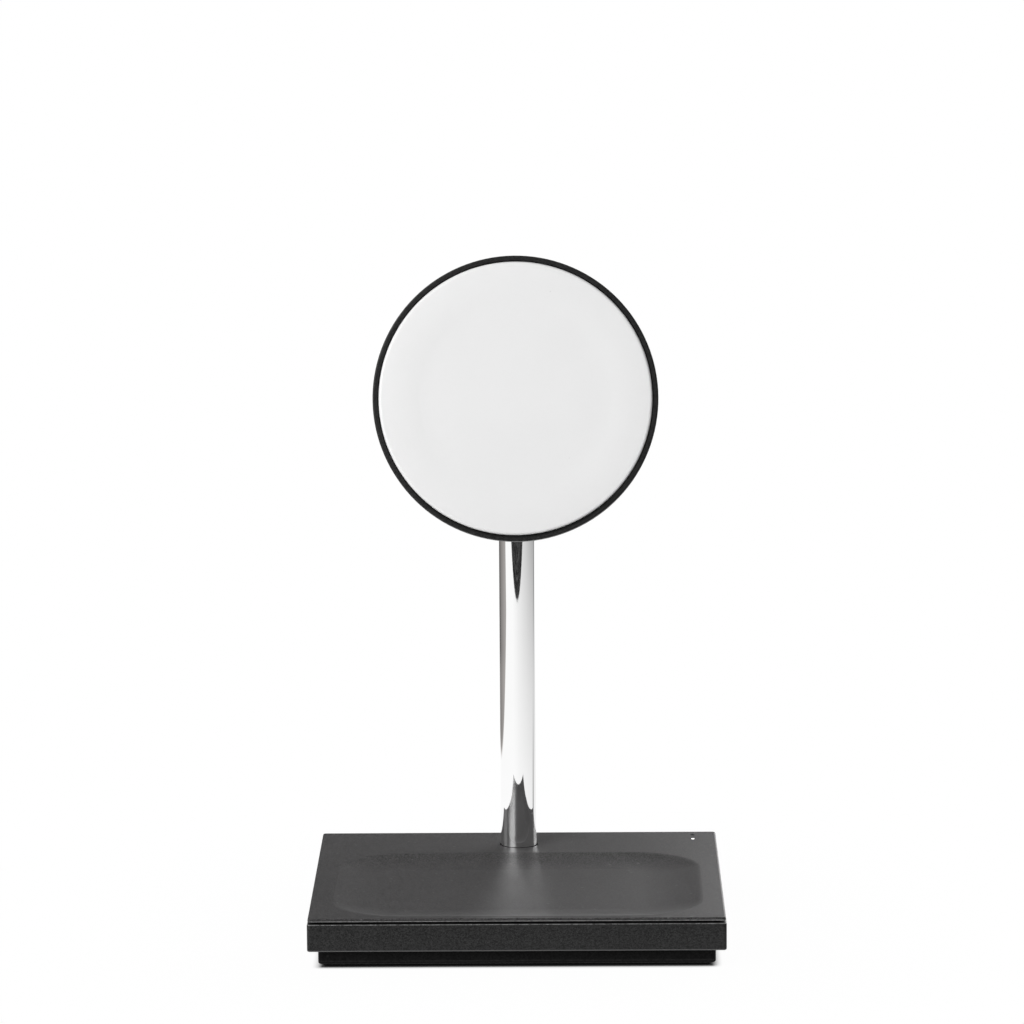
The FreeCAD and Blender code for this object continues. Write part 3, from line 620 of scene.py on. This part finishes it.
def tableSeenInChrome(book, x, y):  # white paper, a dark room past its front edge, grey behind on the left
    plan = tablePlan
    behind = y - hingePoint.y
    reach = straight(x, behind) + plan["leastReach"]
    turned = behind / reach
    onRight = x > 0
    side = ((turned + 1) * 0.5) ** 0.5 * (onRight * 2 - 1)
    level = 1 - reach * (side + plan["rightFrom"]).maths("MAXIMUM") * plan["rightFall"]
    level = level + book.soft(turned, *plan["whiteTurned"]) * onRight * (1 - level)
    spot, turn, soft = plan["greyFrom"], plan["greyTurn"], plan["greyFrontSoft"]
    leftBack = book.soft((x - spot[0]) * turn[0] + (y - spot[1]) * turn[1], *plan["greyEdge"])
    leftBack = leftBack * book.soft(y - plan["greyFront"], -soft, soft) * book.soft(x, plan["greyRight"], 0.0)
    level = level + leftBack * (greyTable(book, reach, turned) - level)
    slant = turned - reach * plan["stripeSlant"]
    stripe = book.soft(slant, *plan["stripeStart"]) * book.soft(slant, *plan["stripeStop"]) * onRight
    stripeLevel = plan["stripe"] + book.line(reach, *plan["stripePale"]) * plan["stripeFade"]
    level = level + stripe * (stripeLevel - level)
    weave = book.cells(plan["weaveSize"], book.stretch(plan["weaveLay"]))
    dark = plan["room"] + weave * weave * plan["roomWeave"]
    past = y + x * x * plan["frontBow"]
    front = book.soft(past, plan["frontEdge"] + plan["frontSoft"], plan["frontEdge"] - plan["frontSoft"])
    level = level + front * (dark - level)
    return book.blend(level, grey(0), book.blend(leftBack, grey(1), plan["warm"]))


def floorPaper():
    book = newBook("floorPaper")
    x, y = book.axes(book.place())[:2]
    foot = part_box("foot_pad")[1]
    away = straight((abs(x) - foot.x).maths("MAXIMUM"), (abs(y) - foot.y).maths("MAXIMUM"))
    shade = book.soft(away, floorPlan["shadeReach"], 0.0)
    paper = book.add("ShaderNodeBsdfDiffuse", None, {
        "Color": book.blend(shade, grey(floorPlan["paper"]), grey(floorPlan["shade"]))})
    keep = floorPlan["contact"] * book.soft(away, floorPlan["contactReach"], 0.0)
    keep = keep + floorPlan["wash"] * book.soft(away, floorPlan["washReach"], 0.0)
    toGloss = book.ray("Is Glossy Ray") + book.ray("Is Transmission Ray")
    forLight = book.either(toGloss, paper, book.glow(tableSeenInChrome(book, x, y)))
    forCamera = book.either(keep, book.glow(grey(1)), paper)
    return book.finish(book.either(book.ray("Is Camera Ray"), forLight, forCamera))


buildFloor()

# room: dim all round, pale above
room = {"front": 0.05, "back": 0.06, "turn": (0.1, -0.5), "above": 0.5, "rise": (0.25, 0.85), "white": 1.0}


def roomLight():
    scene.world = bpy.data.worlds.new("room")
    book = NodeBook(scene.world)
    y, z = book.axes(book.add("ShaderNodeTexCoord", out="Generated"))[1:]
    level = room["back"] + book.soft(y, *room["turn"]) * (room["front"] - room["back"])
    level = level + book.soft(z, *room["rise"]) * room["above"]
    colour = book.blend(book.ray("Is Camera Ray"), book.blend(level, grey(0), grey(1)), grey(room["white"]))
    shader = book.add("ShaderNodeBackground", None, {"Color": colour, "Strength": 1.0})
    book.add("ShaderNodeOutputWorld", None, {"Surface": shader})


roomLight()

softBoxes = [
    {"name": "leftBox", "place": (-0.84, -0.952, 0.66), "size": (0.87, 0.87), "watts": 15.8},
    {"name": "edgeBox", "place": (-0.42, 0.06, 0.24), "size": (0.25, 0.4), "watts": 0.38},
    {"name": "backCard", "place": (0.29, 0.42, 0.14), "size": (0.5, 0.24), "watts": 1.7},
]
boxTarget = Vector((0, 0, 0.03))


def hangBoxes():
    for box in softBoxes:
        data = bpy.data.lights.new(box["name"], "AREA")
        data.shape = "RECTANGLE"
        data.size, data.size_y = box["size"]
        data.energy = box["watts"]
        lamp = bpy.data.objects.new(box["name"], data)
        lamp.location = box["place"]
        lamp.rotation_euler = (boxTarget - lamp.location).to_track_quat("-Z", "Y").to_euler()
        lamp.visible_camera = False
        scene.collection.objects.link(lamp)


hangBoxes()
scene.view_settings.view_transform = "Standard"
print("stage set")
